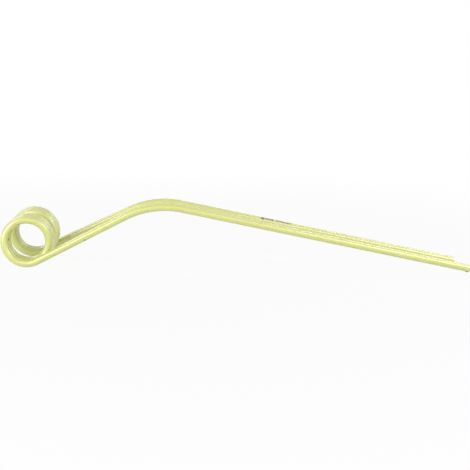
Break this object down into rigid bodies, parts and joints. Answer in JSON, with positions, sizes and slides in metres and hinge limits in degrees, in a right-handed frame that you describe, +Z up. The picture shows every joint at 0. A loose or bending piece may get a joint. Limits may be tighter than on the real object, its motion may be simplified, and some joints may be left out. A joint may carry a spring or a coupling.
{
  "type": "rotary rake tine",
  "caption": "Double spring tine for a rotary hay rake: two mirror-wound coils joined by a short loop, each running out into a long cranked prong.",
  "frame": {"origin": "on the coil axis, midway between the two prongs", "axes": "+X towards the prong tips, +Y along the coil axis across the prongs, +Z up with the tine lying on a floor"},
  "size_m": [0.5921, 0.0974, 0.0854],
  "materials": {
    "tine_paint": "gloss pale yellow-green paint over spring steel"
  },
  "bodies": {
    "root": {"tine": "tine_paint"}
  },
  "joints": []
}
